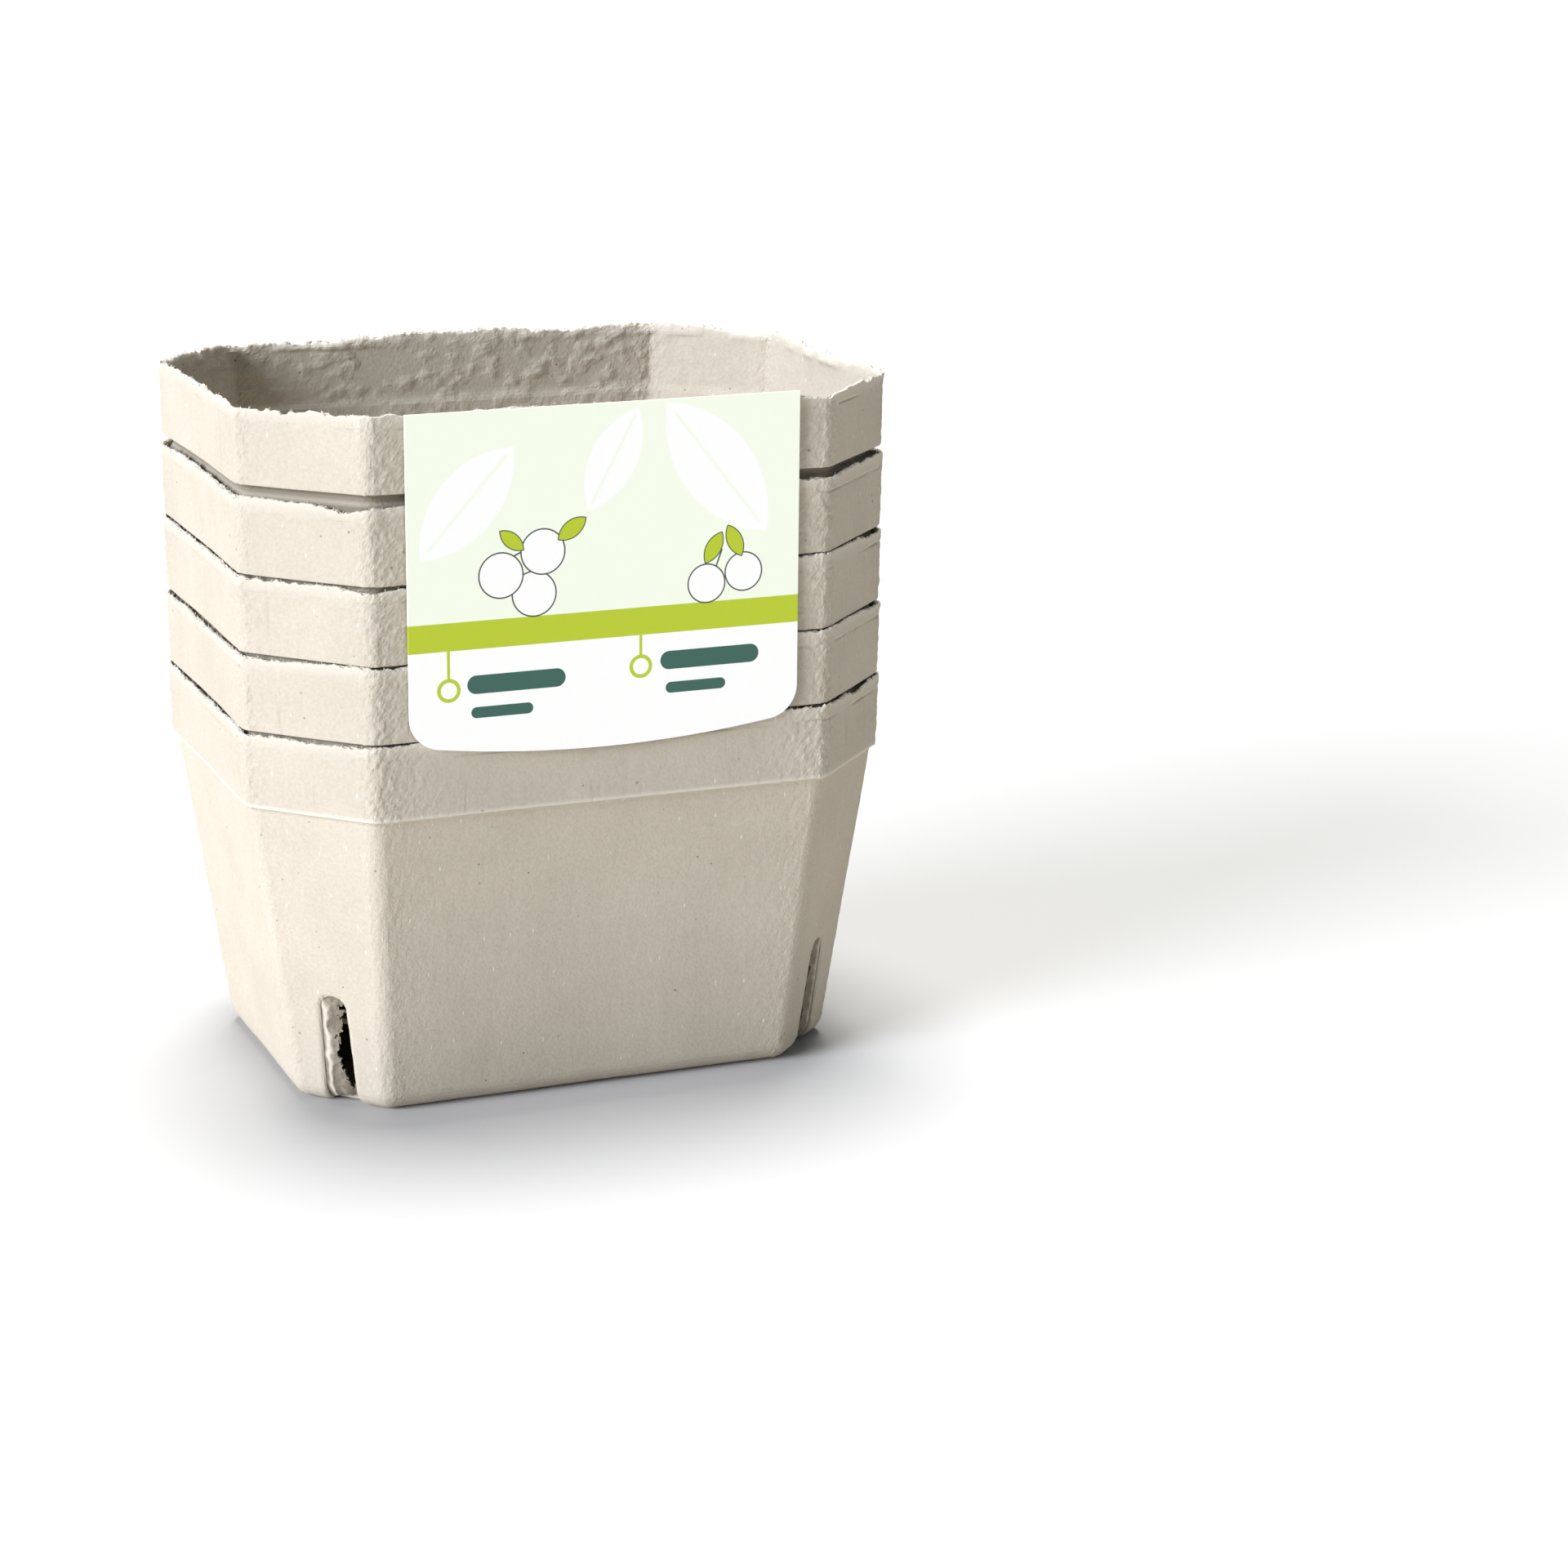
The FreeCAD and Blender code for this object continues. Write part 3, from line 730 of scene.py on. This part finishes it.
def printed_card():
    """Coated white card printed in flat inks: smooth, half-matt, with crisp edges between a pale
    green field, a leaf pattern left white, an olive band and a white foot with plain blocks."""
    material = bpy.data.materials.new("printed_coated_card")
    tree = bare_tree(material)
    low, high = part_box("front_label")
    at = add(tree, "ShaderNodeTexCoord", out="Object")
    # The print is set out in millimetres from the card's centre, x to the right and z up.
    flat = add(tree, VECTOR_MATH, {0: at, 1: (low + high) / 2}, operation="SUBTRACT")
    flat = add(tree, VECTOR_MATH, {0: flat, 1: (1 / MM, 0.0, 1 / MM)}, operation="MULTIPLY")

    white, mist = "#f7f7f3", "#eff5e2"
    olive, deep, line = "#b3c51c", "#2b5b50", "#3c4640"
    band_low, band_high = -16.5, -9.0
    band_blur, shape_blur = 0.05, 0.06

    def from_point(x, z):
        return add(tree, VECTOR_MATH, {0: flat, 1: (x, 0.0, z)}, operation="DISTANCE", out="Value")

    def from_bar(x, z, half, turn):
        """How far a point is from a straight line of that half length."""
        bar = add(tree, VECTOR_MATH, {0: flat, 1: (x, 0.0, z)}, operation="SUBTRACT")
        bar = add(tree, "ShaderNodeVectorRotate", {
            "Vector": bar, "Angle": math.radians(turn),
        }, rotation_type="Y_AXIS")
        bar = add(tree, VECTOR_MATH, {0: bar}, operation="ABSOLUTE")
        bar = add(tree, VECTOR_MATH, {0: bar, 1: (half, 0.0, 0.0)}, operation="SUBTRACT")
        bar = add(tree, VECTOR_MATH, {0: bar, 1: (0.0, 0.0, 0.0)}, operation="MAXIMUM")
        return add(tree, VECTOR_MATH, {0: bar}, operation="LENGTH", out="Value")

    def from_leaf(x, z, length, width, turn):
        """How far a point is outside a leaf, which is where two equal circles overlap."""
        bend = (length * length / 4 + width * width / 4) / width
        tilt = math.radians(turn)
        far = []
        for side in (-1, 1):
            reach = side * (bend - width / 2)
            far.append(from_point(x - math.sin(tilt) * reach, z + math.cos(tilt) * reach))
        furthest = add(tree, MATH, {0: far[0], 1: far[1]}, operation="MAXIMUM")
        return add(tree, MATH, {0: furthest, 1: bend}, operation="SUBTRACT")

    # Every shape is a distance, how far out its ink reaches and the ink, from the lowest to the top one.
    shapes = []
    # Large white leaves, each with its midrib: centre, length, width and turn in degrees.
    for x, z, length, width, turn in [(31, 27, 46, 20, 128), (2, 31, 30, 13, 62), (-38, 22, 38, 17, 48)]:
        shapes.append((from_leaf(x, z, length, width, turn), 0.0, white))
        shapes.append((from_bar(x, z, length * 0.42, turn), 0.35, mist))
    # Berries drawn in line, with stalks and small leaves.
    stalks = [(-22.0, 9.0, 3.6, 25), (-13.5, 11.5, 3.2, 40), (31.5, 2.6, 2.4, 70), (36.5, 4.2, 2.2, 105)]
    for stalk in stalks:
        shapes.append((from_bar(*stalk), 0.22, line))
    berries = [(-20, -3, 6.2), (-29, 2.5, 6.2), (-17.5, 8, 6.2), (28, -4, 5.4), (38.5, -1.5, 5.4)]
    leaves = [(-9.5, 13.5, 9, 4.2, 35), (-26, 11.5, 8, 3.6, 140), (30, 5.5, 9, 4, 60), (36, 7, 9, 4, 115)]
    # Plain blocks in the foot where wording would be, each beside a ring hung from the band.
    blocks = [(-25, -26, 11.0, 2.5), (-29, -33.5, 7.0, 1.5), (29, -24, 11.5, 2.5), (25, -31.5, 7.0, 1.5)]
    hung = [(-43.5, -27, 3.2), (9.5, -25, 3.2)]
    for x, z, half, thick in blocks:
        shapes.append((from_bar(x, z, half, 0), thick, deep))
    for x, z, _ in hung:
        drop = (band_low - z) / 2
        shapes.append((from_bar(x, z + drop, drop, 90), 0.4, olive))
    for rings, outline, ink in ((berries, 0.4, line), (hung, 1.0, olive)):
        for x, z, radius in rings:
            away = from_point(x, z)
            shapes += [(away, radius, ink), (away, radius - outline, white)]
    for leaf in leaves:
        edge = from_leaf(*leaf)
        shapes += [(edge, 0.3, line), (edge, 0.0, olive)]

    colour = paint(white)
    level = add(tree, "ShaderNodeSeparateXYZ", {0: flat}, out=2)
    inked = []
    for edge, ink in ((band_low, olive), (band_high, mist)):
        inked.append((level, edge - band_blur, edge + band_blur, 0.0, ink))
    for distance, reach, ink in shapes:
        inked.append((distance, reach - shape_blur, reach + shape_blur, 1.0, ink))
    for value, start, end, first, ink in inked:
        mask = add(tree, MAP_RANGE, {
            "Value": value, "From Min": start, "From Max": end, "To Min": first, "To Max": 1.0 - first,
        })
        colour = add(tree, MIX, {0: mask, 6: colour, 7: paint(ink)}, data_type="RGBA", out=2)

    # The card's clay coating: a faint orange-peel 1.5 mm across.
    coat = add(tree, NOISE, {"Vector": at, "Scale": 1 / (1.5 * MM), "Detail": 2.0})
    bump = add(tree, "ShaderNodeBump", {"Height": coat, "Distance": 0.01 * MM, "Strength": 1.0})
    shader = add(tree, "ShaderNodeBsdfPrincipled", {
        "Base Color": colour, "Normal": bump, "Roughness": 0.42, "IOR": 1.5,
    })
    add(tree, "ShaderNodeOutputMaterial", {"Surface": shader}, out=None)
    return material


# ---------------------------------------------------------------- torn film in the vents

def film_tree():
    """A ragged skin of pulp left across the back of a vent slot, with a hole torn through it."""
    tree, given = geometry_tree("torn film", "Film", [
        ("Pulp", "Material", None),
        ("Seed", "Float", 0.0),
        ("Hole Side", "Float", -2.9 * MM),
        ("Hole Half Width", "Float", 1.7 * MM),
        ("Hole Half Height", "Float", 10.5 * MM),
        ("Thickness", "Float", 0.55 * MM),
    ])
    tall = VENT_HEIGHT + 1.5 * MM
    foot_level = 0.4 * MM
    torn_below = -1.6
    smallest_scrap = 600.0  # in mesh points

    # The sheet starts flat: x across the slot, y up it; then it leans with the wall and buckles.
    sheet = add(tree, "GeometryNodeMeshGrid", {
        "Size X": 2 * VENT_FOOT_HALF + 0.8 * MM, "Size Y": tall, "Vertices X": 34, "Vertices Y": 96,
    }, out="Mesh")
    position = add(tree, "GeometryNodeInputPosition")
    across, up, _ = add(tree, "ShaderNodeSeparateXYZ", {0: position}, out=None)
    ragged = add(tree, NOISE, {
        "Vector": position, "W": given["Seed"], "Scale": 1 / (4.6 * MM), "Detail": 4.0, "Roughness": 0.66,
    }, noise_dimensions="4D")
    hole_x = add(tree, MATH, {0: across, 1: given["Hole Side"]}, operation="SUBTRACT")
    hole_y = add(tree, MATH, {0: up, 1: 0.5 * MM}, operation="ADD")
    hole_x, hole_y = (
        add(tree, MATH, {0: value, 1: given[label]}, operation="DIVIDE")
        for value, label in ((hole_x, "Hole Half Width"), (hole_y, "Hole Half Height"))
    )
    hole = add(tree, "ShaderNodeCombineXYZ", {0: hole_x, 1: hole_y})
    hole = add(tree, VECTOR_MATH, {0: hole}, operation="LENGTH", out="Value")
    hole = add(tree, MATH, {0: ragged, 1: -6.0, 2: hole}, operation="MULTIPLY_ADD")
    # The film also stops a ragged few millimetres above the foot.
    height = add(tree, MATH, {0: up, 1: tall / 2}, operation="ADD")
    hem = add(tree, MATH, {0: height, 1: 1 / (3 * MM)}, operation="MULTIPLY")
    hem = add(tree, MATH, {0: ragged, 1: -2.4, 2: hem}, operation="MULTIPLY_ADD")
    hem = add(tree, MATH, {0: hem, 1: 0.9}, operation="SUBTRACT")
    hole = add(tree, MATH, {0: hole, 1: hem}, operation="MINIMUM")
    # Scraps that hang on nothing have fallen off too.
    island = add(tree, "GeometryNodeInputMeshIsland", out="Island Index")
    island = add(tree, "GeometryNodeAccumulateField", {"Value": 1.0, "Group ID": island}, out="Total")
    for value, least, domain in ((hole, torn_below, "FACE"), (island, smallest_scrap, "POINT")):
        gone = add(tree, "FunctionNodeCompare", {
            0: value, 1: least,
        }, data_type="FLOAT", operation="LESS_THAN")
        sheet = add(tree, "GeometryNodeDeleteGeometry", {
            "Geometry": sheet, "Selection": gone,
        }, domain=domain)

    # The edge of the hole is torn, and a loose ridge stands beside it.
    near_hole = add(tree, MAP_RANGE, {
        "Value": hole, "From Min": torn_below, "From Max": -1.15, "To Min": 0.8, "To Max": 0.0,
    })
    buckle = add(tree, NOISE, {
        "Vector": position, "W": given["Seed"], "Scale": 1 / (4.5 * MM), "Detail": 3.0,
    }, noise_dimensions="4D")
    buckle = add(tree, MATH, {0: buckle, 1: 0.5}, operation="SUBTRACT")
    ridge = across
    for value, amount in ((given["Hole Side"], 1.1), (buckle, 4 * MM)):
        ridge = add(tree, MATH, {0: value, 1: amount, 2: ridge}, operation="MULTIPLY_ADD")
    ridge = add(tree, MATH, {0: ridge}, operation="ABSOLUTE")
    loose = add(tree, MAP_RANGE, {
        "Value": ridge, "From Min": 0.0, "From Max": 1.3 * MM, "To Min": 1.0, "To Max": 0.0,
    }, interpolation_type="SMOOTHSTEP")
    # The film is painted with uneven shade, and its loose ridge is painted paler, as a painted highlight.
    uneven = add(tree, MATH, {0: ragged, 1: 1.6, 2: -1.7}, operation="MULTIPLY_ADD")
    tone = add(tree, MATH, {0: loose, 1: 1.2, 2: uneven}, operation="MULTIPLY_ADD")
    for label, value in (("torn", near_hole), ("tone", tone)):
        sheet = add(tree, "GeometryNodeStoreNamedAttribute", {
            "Geometry": sheet, "Name": label, "Value": value,
        }, data_type="FLOAT", domain="POINT")
    skew = add(tree, MATH, {0: across, 1: given["Hole Side"]}, operation="DIVIDE")
    belly = add(tree, MATH, {0: loose, 1: 0.5 * MM}, operation="MULTIPLY")
    belly = add(tree, MATH, {0: skew, 1: -0.6 * MM, 2: belly}, operation="MULTIPLY_ADD")
    # It only buckles away from the edge that it still hangs on.
    slack = add(tree, MAP_RANGE, {"Value": skew, "From Min": -1.5, "From Max": -0.5})
    for factor in (2.6 * MM, slack):
        buckle = add(tree, MATH, {0: buckle, 1: factor}, operation="MULTIPLY")

    lean = add(tree, MATH, {
        0: height, 1: BODY_SLOPE, 2: -(FOOT_INSET + 1.3 * MM),
    }, operation="MULTIPLY_ADD")
    # Near the foot it turns in under the punnet, round the same arc as the wall.
    low_share = add(tree, MAP_RANGE, {
        "Value": height, "From Min": -foot_level, "From Max": BODY_RADIUS, "To Min": 1.0, "To Max": 0.0,
    })
    arc = rolled_over(tree, low_share)
    lean = add(tree, MATH, {0: arc, 1: -BODY_RADIUS, 2: lean}, operation="MULTIPLY_ADD")
    # Where it runs into the slot's sides it stays inside the thickness of the wall.
    free = add(tree, MATH, {0: across}, operation="ABSOLUTE")
    free = add(tree, MAP_RANGE, {
        "Value": free, "From Min": VENT_TOP_HALF - 1.2 * MM, "From Max": VENT_TOP_HALF,
        "To Min": 1.0, "To Max": 0.0,
    })
    deepest, proudest = (
        add(tree, MATH, {0: free, 1: swing, 2: at_edge}, operation="MULTIPLY_ADD")
        for swing, at_edge in ((-2.2 * MM, 0.4 * MM), (0.25 * MM, 0.5 * MM))
    )
    swell = add(tree, MATH, {0: belly, 1: buckle}, operation="ADD")
    for limit, operation in ((deepest, "MAXIMUM"), (proudest, "MINIMUM")):
        swell = add(tree, MATH, {0: swell, 1: limit}, operation=operation)
    depth = add(tree, MATH, {0: lean, 1: swell}, operation="ADD")
    height = add(tree, MATH, {0: height, 1: foot_level}, operation="ADD")
    stood = add(tree, "ShaderNodeCombineXYZ", {0: across, 1: depth, 2: height})
    sheet = add(tree, "GeometryNodeSetPosition", {"Geometry": sheet, "Position": stood})

    # The sheet gets its thickness outwards, and a flipped copy closes its back.
    normal = add(tree, "GeometryNodeInputNormal")
    thick = add(tree, "GeometryNodeExtrudeMesh", {
        "Mesh": sheet, "Offset": normal, "Offset Scale": given["Thickness"], "Individual": False,
    }, out="Mesh")
    back = add(tree, "GeometryNodeFlipFaces", {"Mesh": sheet})
    solid = add(tree, "GeometryNodeJoinGeometry", {0: [thick, back]})
    solid = add(tree, "GeometryNodeMergeByDistance", {"Geometry": solid, "Distance": WELD})
    hand_out(tree, "Film", solid, given["Pulp"])
    return tree


# ---------------------------------------------------------------- the stack

def lean_matrix():
    """The loose top punnet sits on the far lip and is raised a little at its front left corner."""
    seat_inset = LIP_STEP + (COLLAR_HEIGHT - LIP_HEIGHT) * COLLAR_SLOPE
    nest_gap = COLLAR_HEIGHT * BODY_SLOPE - WALL
    way = Vector((-math.sin(LEAN_HEADING), -math.cos(LEAN_HEADING), 0))
    half_length, half_width = HALF_LENGTH - seat_inset, HALF_WIDTH - seat_inset
    leg = CORNER_LEG - seat_inset * (2 - math.sqrt(2))
    reach = max(
        Vector((-half_length, -(half_width - leg), 0)).dot(way),
        Vector((-(half_length - leg), -half_width, 0)).dot(way),
    )
    turn = math.atan((nest_gap - LEAN_CLEARANCE) / (SEAT_LEVEL - 2 * reach * BODY_SLOPE))
    pivot = way * -reach + Vector((0, 0, TOP_RAISED + SEAT_LEVEL))
    axis = way.cross(Vector((0, 0, 1)))
    return Matrix.Translation(pivot) @ Matrix.Rotation(turn, 4, axis) @ Matrix.Translation(-pivot)


pulp = moulded_pulp()
moulding = moulding_tree()
columns = outline_columns(48, 8, 54, 82)
plan = loose_points(
    "plan", [column[0] for column in columns],
    ("way", "outward", "bow", "upright"), [column[1:] for column in columns],
)
cutters = vent_cutters()

# Rows for the nested punnets, the bottom one, whose outside shows, and the open top one.
nested = wall_section(2, 4, 8, 4, 18, 3, 3, 3, 3, 1, undercut=0.6)
sections = {node: nested for node in PUNNETS}
# The bottom punnet's ledge edge gets the painted highlight.
sections[BOTTOM] = wall_section(2, 7, 26, 17, 18, 3, 3, 4, 3, 1, ledge_highlight=1.0)
sections[TOP] = wall_section(1, 4, 6, 2, 16, 15, 18, 13, 5, 4, undercut=1.1, fold=1.0)
for number, node in enumerate(PUNNETS):
    rows = sections[node]
    section = loose_points(
        "section", [row[:3] for row in rows],
        ("spread", "inside", "torn", "crease", "tone"), [row[3:] for row in rows],
    )
    raggedness, lump_height = (1.0, 1.15 * MM) if node == TOP else (0.65, 0.4 * MM)
    mesh = made_by(
        moulding, "moulding",
        Section=section, Plan=plan, Vent_Cutters=cutters, Pulp=pulp, Seed=3.0 + 5.7 * number,
        Tear_Depth=1.9 * MM * raggedness, Tooth_Depth=2.4 * MM * raggedness, Lump_Height=lump_height,
    )
    mesh.transform(Matrix.Translation((0, 0, number * COLLAR_HEIGHT)))
    if node == TOP:
        mesh.transform(lean_matrix())
    as_piece("pulp_" + node, mesh, node)
    bpy.data.objects.remove(section)
bpy.data.objects.remove(plan)
bpy.data.objects.remove(cutters)

# A torn film in each slot of the bottom and the top punnet, turned to its corner.
films = film_tree()
for node, raised in ((BOTTOM, 0.0), (TOP, TOP_RAISED)):
    for number, (side_x, side_y) in enumerate(((-1, -1), (1, -1), (1, 1), (-1, 1))):
        hole_side = -2.7 * MM if side_x * side_y > 0 else 2.7 * MM
        film = made_by(films, "film", Pulp=pulp, Seed=2.0 + 1.3 * number + raised, Hole_Side=hole_side)
        outward = Vector((side_x, side_y, 0)).normalized()
        along = Vector((outward.y, -outward.x, 0))
        film.transform(Matrix((along, outward, (0, 0, 1))).transposed().to_4x4())
        film.transform(Matrix.Translation((CORNER_MIDDLE.x * side_x, CORNER_MIDDLE.y * side_y, 0)))
        film.transform(Matrix.Translation((0, 0, raised)))
        if node == TOP:
            film.transform(lean_matrix())
        as_piece(f"vent_film_{node}_{number + 1}", film)

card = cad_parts["front_label"]
card.data.materials.clear()
card.data.materials.append(printed_card())


# ---------------------------------------------------------------- studio

def studio():
    """A plain pale floor, a low lamp at the left and a wide one overhead, and the world in the shadows.

    The world and the floor look paler to the camera than to the light that bounces off them.
    """
    scene = bpy.context.scene
    scene.view_settings.view_transform = "Standard"

    world = bpy.data.worlds.new("studio_world")
    scene.world = world
    floor_material = bpy.data.materials.new("pale_floor")
    world_tree, floor_shader_tree = bare_tree(world), bare_tree(floor_material)
    seen = add(world_tree, "ShaderNodeLightPath", out="Is Camera Ray")
    strength = add(world_tree, MAP_RANGE, {"Value": seen, "To Min": 0.2, "To Max": 1.0})
    tint = add(world_tree, MIX, {
        0: seen, 6: paint("#dde6f2"), 7: paint("#ffffff"),
    }, data_type="RGBA", out=2)
    sky = add(world_tree, "ShaderNodeBackground", {"Color": tint, "Strength": strength})
    add(world_tree, "ShaderNodeOutputWorld", {"Surface": sky}, out=None)

    seen = add(floor_shader_tree, "ShaderNodeLightPath", out="Is Camera Ray")
    shade = add(floor_shader_tree, MIX, {
        0: seen, 6: paint("#cac6bf"), 7: paint("#c1c0bd"),
    }, data_type="RGBA", out=2)
    shader = add(floor_shader_tree, "ShaderNodeBsdfDiffuse", {"Color": shade})
    add(floor_shader_tree, "ShaderNodeOutputMaterial", {"Surface": shader}, out=None)
    far = 40
    mesh = bpy.data.meshes.new("floor")
    mesh.from_pydata([(-far, -far, 0), (far, -far, 0), (far, far, 0), (-far, far, 0)], [], [(0, 1, 2, 3)])
    mesh.materials.append(floor_material)
    floor = placed("floor", mesh)
    floor.location.z = -0.05 * MM

    # The overhead lamp puts the shadow under the collars.
    for name, toward, spread, strength, colour in [
        ("side_lamp", (-0.9, -0.26, 0.34), 32, 5.5, "#eff3ff"),
        ("top_lamp", (0.05, 0.2, 1.0), 30, 4.4, "#ffffff"),
    ]:
        lamp_data = bpy.data.lights.new(name, "SUN")
        lamp_data.angle = math.radians(spread)
        lamp_data.energy = strength
        lamp_data.color = paint(colour)[:3]
        placed(name, lamp_data).rotation_euler = Vector(toward).to_track_quat("Z", "Y").to_euler()

    camera_data = bpy.data.cameras.new("camera")
    camera_data.sensor_width = 36.0
    camera_data.lens = 86.8
    camera_data.clip_start = 0.05
    camera_data.clip_end = 200.0
    camera_at = (-0.32691, -0.97873, 0.36836)
    azimuth, elevation, roll = (math.radians(a) for a in (22.565, 16.009, 0.607))
    run = math.cos(elevation)
    back = Vector((-math.sin(azimuth) * run, -math.cos(azimuth) * run, math.sin(elevation)))
    level_right = Vector((math.cos(azimuth), -math.sin(azimuth), 0))
    level_up = back.cross(level_right)
    right = level_right * math.cos(roll) + level_up * math.sin(roll)
    turned = Matrix((right, back.cross(right), back)).transposed().to_4x4()
    camera = placed("camera", camera_data)
    camera.matrix_world = Matrix.Translation(camera_at) @ turned
    scene.camera = camera


studio()
